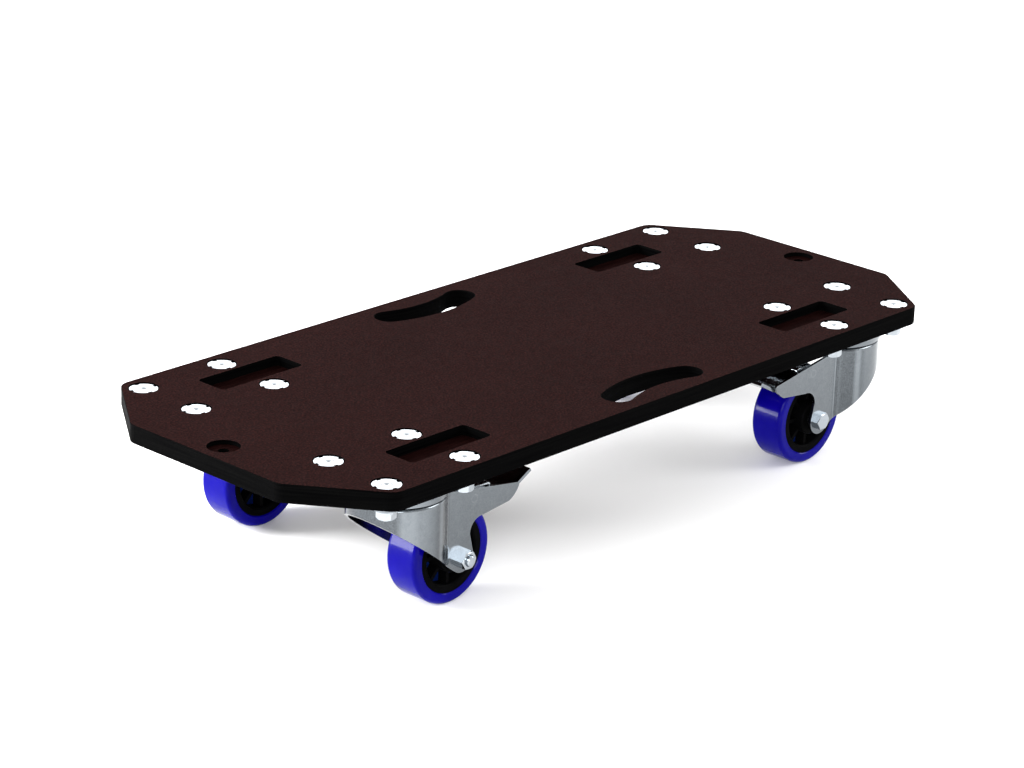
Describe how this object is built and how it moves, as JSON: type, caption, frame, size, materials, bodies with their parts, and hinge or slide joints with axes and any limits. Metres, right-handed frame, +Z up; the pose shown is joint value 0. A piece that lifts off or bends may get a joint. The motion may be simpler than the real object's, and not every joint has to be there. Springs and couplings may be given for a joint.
{
  "type": "castor dolly board",
  "caption": "Low octagonal dolly board with braked swivel castors, curved hand-holds and stacking wells for wheels.",
  "frame": {"origin": "on the floor, straight under the centre of the board", "axes": "+X along the board's length, +Y across it, +Z up"},
  "size_m": [0.71, 0.3, 0.124],
  "materials": {
    "board": "dark brown phenolic film on plywood, satin, with fine flecks; black sealed edges",
    "zinc_steel": "pressed steel, blue-passivated zinc, satin to glossy",
    "bright_steel": "bright zinc-plated fasteners",
    "ball_steel": "polished bearing steel",
    "rim_plastic": "black moulded nylon",
    "blue_tyre": "solid elastic rubber, deep blue, glossy",
    "shoe_rubber": "black rubber block"
  },
  "bodies": {
    "deck": {"deck_board": "board", "tee_nuts": "bright_steel", "plate_bolts": "bright_steel", "plate_washers": "bright_steel", "swivel_balls": "ball_steel", "kingpins": "zinc_steel", "top_plate_left_front": "zinc_steel", "bearing_cap_left_front": "zinc_steel", "top_plate_left_rear": "zinc_steel", "bearing_cap_left_rear": "zinc_steel", "top_plate_right_front": "zinc_steel", "bearing_cap_right_front": "zinc_steel", "top_plate_right_rear": "zinc_steel", "bearing_cap_right_rear": "zinc_steel"},
    "fork_left_front": {"fork_left_front": "zinc_steel", "axle_bolt_left_front": "bright_steel", "axle_nut_left_front": "bright_steel", "axle_spacers_left_front": "zinc_steel", "brake_pin_left_front": "zinc_steel", "brake_spring_left_front": "bright_steel"},
    "wheel_left_front": {"wheel_rim_left_front": "rim_plastic", "tyre_left_front": "blue_tyre", "wheel_bearings_left_front": "ball_steel"},
    "brake_left_front": {"brake_pedal_left_front": "zinc_steel", "brake_shoe_left_front": "shoe_rubber"},
    "fork_left_rear": {"fork_left_rear": "zinc_steel", "axle_bolt_left_rear": "bright_steel", "axle_nut_left_rear": "bright_steel", "axle_spacers_left_rear": "zinc_steel", "brake_pin_left_rear": "zinc_steel", "brake_spring_left_rear": "bright_steel"},
    "wheel_left_rear": {"wheel_rim_left_rear": "rim_plastic", "tyre_left_rear": "blue_tyre", "wheel_bearings_left_rear": "ball_steel"},
    "brake_left_rear": {"brake_pedal_left_rear": "zinc_steel", "brake_shoe_left_rear": "shoe_rubber"},
    "fork_right_front": {"fork_right_front": "zinc_steel", "axle_bolt_right_front": "bright_steel", "axle_nut_right_front": "bright_steel", "axle_spacers_right_front": "zinc_steel", "brake_pin_right_front": "zinc_steel", "brake_spring_right_front": "bright_steel"},
    "wheel_right_front": {"wheel_rim_right_front": "rim_plastic", "tyre_right_front": "blue_tyre", "wheel_bearings_right_front": "ball_steel"},
    "brake_right_front": {"brake_pedal_right_front": "zinc_steel", "brake_shoe_right_front": "shoe_rubber"},
    "fork_right_rear": {"fork_right_rear": "zinc_steel", "axle_bolt_right_rear": "bright_steel", "axle_nut_right_rear": "bright_steel", "axle_spacers_right_rear": "zinc_steel", "brake_pin_right_rear": "zinc_steel", "brake_spring_right_rear": "bright_steel"},
    "wheel_right_rear": {"wheel_rim_right_rear": "rim_plastic", "tyre_right_rear": "blue_tyre", "wheel_bearings_right_rear": "ball_steel"},
    "brake_right_rear": {"brake_pedal_right_rear": "zinc_steel", "brake_shoe_right_rear": "shoe_rubber"}
  },
  "joints": [
    {"name": "swivel_left_front", "type": "hinge", "parent": "deck", "child": "fork_left_front", "pos_m": [-0.2573, -0.10175, 0.109], "axis": [0, 0, 1], "continuous": true},
    {"name": "spin_left_front", "type": "hinge", "parent": "fork_left_front", "child": "wheel_left_front", "pos_m": [-0.2122, -0.10175, 0.04], "axis": [0, 1, 0], "continuous": true},
    {"name": "pedal_left_front", "type": "hinge", "parent": "fork_left_front", "child": "brake_left_front", "pos_m": [-0.2003, -0.10175, 0.084], "axis": [0, 1, 0], "range_deg": [0, 7.5]},
    {"name": "swivel_left_rear", "type": "hinge", "parent": "deck", "child": "fork_left_rear", "pos_m": [-0.2573, 0.10175, 0.109], "axis": [0, 0, 1], "continuous": true},
    {"name": "spin_left_rear", "type": "hinge", "parent": "fork_left_rear", "child": "wheel_left_rear", "pos_m": [-0.2122, 0.10175, 0.04], "axis": [0, 1, 0], "continuous": true},
    {"name": "pedal_left_rear", "type": "hinge", "parent": "fork_left_rear", "child": "brake_left_rear", "pos_m": [-0.2003, 0.10175, 0.084], "axis": [0, 1, 0], "range_deg": [0, 7.5]},
    {"name": "swivel_right_front", "type": "hinge", "parent": "deck", "child": "fork_right_front", "pos_m": [0.2573, -0.10175, 0.109], "axis": [0, 0, 1], "continuous": true},
    {"name": "spin_right_front", "type": "hinge", "parent": "fork_right_front", "child": "wheel_right_front", "pos_m": [0.2122, -0.10175, 0.04], "axis": [0, 1, 0], "continuous": true},
    {"name": "pedal_right_front", "type": "hinge", "parent": "fork_right_front", "child": "brake_right_front", "pos_m": [0.2003, -0.10175, 0.084], "axis": [0, -1, 0], "range_deg": [0, 7.5]},
    {"name": "swivel_right_rear", "type": "hinge", "parent": "deck", "child": "fork_right_rear", "pos_m": [0.2573, 0.10175, 0.109], "axis": [0, 0, 1], "continuous": true},
    {"name": "spin_right_rear", "type": "hinge", "parent": "fork_right_rear", "child": "wheel_right_rear", "pos_m": [0.2122, 0.10175, 0.04], "axis": [0, 1, 0], "continuous": true},
    {"name": "pedal_right_rear", "type": "hinge", "parent": "fork_right_rear", "child": "brake_right_rear", "pos_m": [0.2003, 0.10175, 0.084], "axis": [0, -1, 0], "range_deg": [0, 7.5]}
  ]
}
